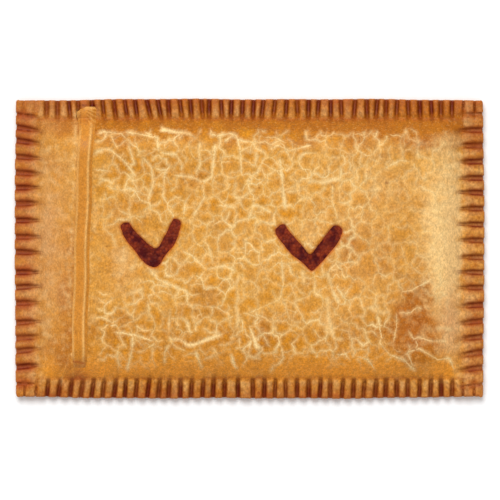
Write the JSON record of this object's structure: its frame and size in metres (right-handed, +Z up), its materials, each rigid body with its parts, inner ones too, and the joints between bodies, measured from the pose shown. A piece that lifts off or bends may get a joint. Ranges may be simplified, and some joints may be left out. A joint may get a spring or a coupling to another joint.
{
  "type": "beef empanada",
  "caption": "Baked rectangular slab pie with a crimped rim, a crackled golden lid, V-shaped steam vents over a meat filling, and a thin strip of dough near one end.",
  "frame": {"origin": "centre of the flat base, on the surface that the pie lies on", "axes": "+X along the long side towards the end without the strip, +Y towards the back rim where the strip's folded end lies, +Z up"},
  "size_m": [0.2497, 0.1598, 0.0214],
  "materials": {
    "crust": "golden egg-glazed pastry with a pale crack network, browner at the rim",
    "filling": "moist dark red-brown minced beef in sauce",
    "dough_strip": "golden glazed pastry strip"
  },
  "bodies": {
    "root": {"crust": "crust", "filling": "filling", "dough_strip": "dough_strip"}
  },
  "joints": []
}
